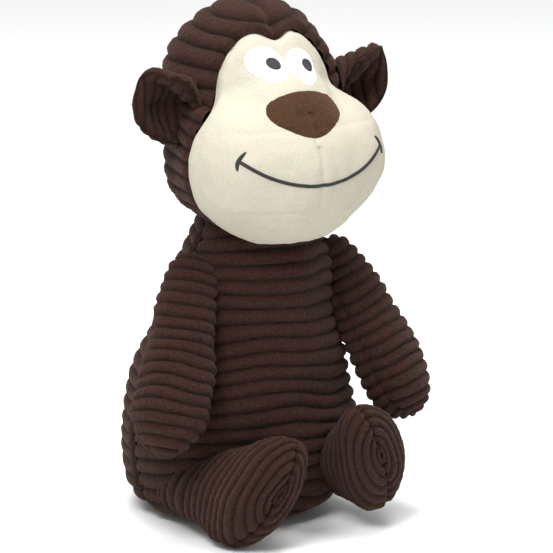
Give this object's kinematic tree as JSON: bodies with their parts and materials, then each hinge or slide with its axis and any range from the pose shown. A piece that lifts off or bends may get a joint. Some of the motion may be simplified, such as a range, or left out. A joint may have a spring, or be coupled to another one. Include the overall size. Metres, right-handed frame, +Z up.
{
  "type": "stuffed monkey",
  "caption": "Seated soft toy monkey in ribbed plush with a smooth embroidered face, cupped ears, hanging arms and forward legs sewn on to a pear-shaped body.",
  "frame": {"origin": "in the flat of the seat, on the surface the toy sits on", "axes": "+Z up, the toy faces -Y, its left side is +X"},
  "size_m": [0.2393, 0.2124, 0.3597],
  "materials": {
    "ribbed_plush": "jumbo-wale ribbed short-pile plush, soft sheen",
    "cream_plush": "smooth short-pile plush",
    "nose_plush": "smooth short-pile plush",
    "white_thread": "satin stitch",
    "black_thread": "satin stitch",
    "brown_thread": "twisted sewing thread",
    "polyester_filling": "loose polyester fibre",
    "backing_fleece": "non-woven backing",
    "bag_cloth": "plain woven cotton",
    "plastic_pellets": "smooth granules"
  },
  "bodies": {
    "torso": {"torso_front_panel": "ribbed_plush", "torso_back_panel": "ribbed_plush", "torso_stuffing": "polyester_filling", "pellet_bag": "bag_cloth", "pellet_filling": "plastic_pellets", "closing_stitches": "brown_thread"},
    "neck": {"neck_seam_thread": "brown_thread"},
    "head": {"crown_left_panel": "ribbed_plush", "crown_right_panel": "ribbed_plush", "face_panel": "cream_plush", "head_stuffing": "polyester_filling", "embroidery_backing": "backing_fleece", "nose_patch": "nose_plush", "eye_white_left": "white_thread", "eye_white_right": "white_thread", "pupil_left": "black_thread", "pupil_right": "black_thread", "mouth_embroidery": "black_thread"},
    "ear_left": {"ear_left_front_panel": "ribbed_plush", "ear_left_back_panel": "ribbed_plush"},
    "shoulder_left": {"shoulder_left_seam_thread": "brown_thread"},
    "arm_left": {"arm_left_outer_panel": "ribbed_plush", "arm_left_inner_panel": "ribbed_plush", "arm_left_stuffing": "polyester_filling"},
    "hip_left": {"hip_left_seam_thread": "brown_thread"},
    "leg_left": {"leg_left_outer_panel": "ribbed_plush", "leg_left_inner_panel": "ribbed_plush", "leg_left_stuffing": "polyester_filling"},
    "ear_right": {"ear_right_front_panel": "ribbed_plush", "ear_right_back_panel": "ribbed_plush"},
    "shoulder_right": {"shoulder_right_seam_thread": "brown_thread"},
    "arm_right": {"arm_right_outer_panel": "ribbed_plush", "arm_right_inner_panel": "ribbed_plush", "arm_right_stuffing": "polyester_filling"},
    "hip_right": {"hip_right_seam_thread": "brown_thread"},
    "leg_right": {"leg_right_outer_panel": "ribbed_plush", "leg_right_inner_panel": "ribbed_plush", "leg_right_stuffing": "polyester_filling"}
  },
  "joints": [
    {"name": "neck_turn", "type": "hinge", "parent": "torso", "child": "neck", "pos_m": [0, -0.02812, 0.20484], "axis": [0, 0, 1], "range_deg": [-35, 35], "stiffness_Nm_per_rad": 0.6},
    {"name": "neck_nod", "type": "hinge", "parent": "neck", "child": "head", "pos_m": [0, -0.02812, 0.20484], "axis": [-1, 0, 0], "range_deg": [-10, 18], "stiffness_Nm_per_rad": 1.2},
    {"name": "ear_left_fold", "type": "hinge", "parent": "head", "child": "ear_left", "pos_m": [0.066, -0.036, 0.297], "axis": [0, 0, 1], "range_deg": [-30, 30], "stiffness_Nm_per_rad": 0.05},
    {"name": "shoulder_left_swing", "type": "hinge", "parent": "torso", "child": "shoulder_left", "pos_m": [0.0643, -0.032, 0.19], "axis": [-0.9659, 0, -0.259], "range_deg": [-15, 75], "stiffness_Nm_per_rad": 0.4},
    {"name": "arm_left_lift", "type": "hinge", "parent": "shoulder_left", "child": "arm_left", "pos_m": [0.0643, -0.032, 0.19], "axis": [-0.0887, -0.9395, 0.3308], "range_deg": [0, 75], "stiffness_Nm_per_rad": 0.4},
    {"name": "hip_left_turn", "type": "hinge", "parent": "torso", "child": "hip_left", "pos_m": [0.079, -0.034, 0.0175], "axis": [-0.7204, 0.4803, 0.5003], "range_deg": [0, 20], "stiffness_Nm_per_rad": 0.4},
    {"name": "leg_left_spread", "type": "hinge", "parent": "hip_left", "child": "leg_left", "pos_m": [0.079, -0.034, 0.0175], "axis": [0, 0, 1], "range_deg": [0, 25], "stiffness_Nm_per_rad": 0.4},
    {"name": "ear_right_fold", "type": "hinge", "parent": "head", "child": "ear_right", "pos_m": [-0.066, -0.036, 0.297], "axis": [0, 0, -1], "range_deg": [-30, 30], "stiffness_Nm_per_rad": 0.05},
    {"name": "shoulder_right_swing", "type": "hinge", "parent": "torso", "child": "shoulder_right", "pos_m": [-0.0643, -0.032, 0.19], "axis": [-0.9659, 0, 0.259], "range_deg": [-15, 75], "stiffness_Nm_per_rad": 0.4},
    {"name": "arm_right_lift", "type": "hinge", "parent": "shoulder_right", "child": "arm_right", "pos_m": [-0.0643, -0.032, 0.19], "axis": [-0.0887, 0.9395, -0.3308], "range_deg": [0, 75], "stiffness_Nm_per_rad": 0.4},
    {"name": "hip_right_turn", "type": "hinge", "parent": "torso", "child": "hip_right", "pos_m": [-0.079, -0.034, 0.0175], "axis": [-0.7204, -0.4803, -0.5003], "range_deg": [0, 20], "stiffness_Nm_per_rad": 0.4},
    {"name": "leg_right_spread", "type": "hinge", "parent": "hip_right", "child": "leg_right", "pos_m": [-0.079, -0.034, 0.0175], "axis": [0, 0, -1], "range_deg": [0, 25], "stiffness_Nm_per_rad": 0.4}
  ]
}
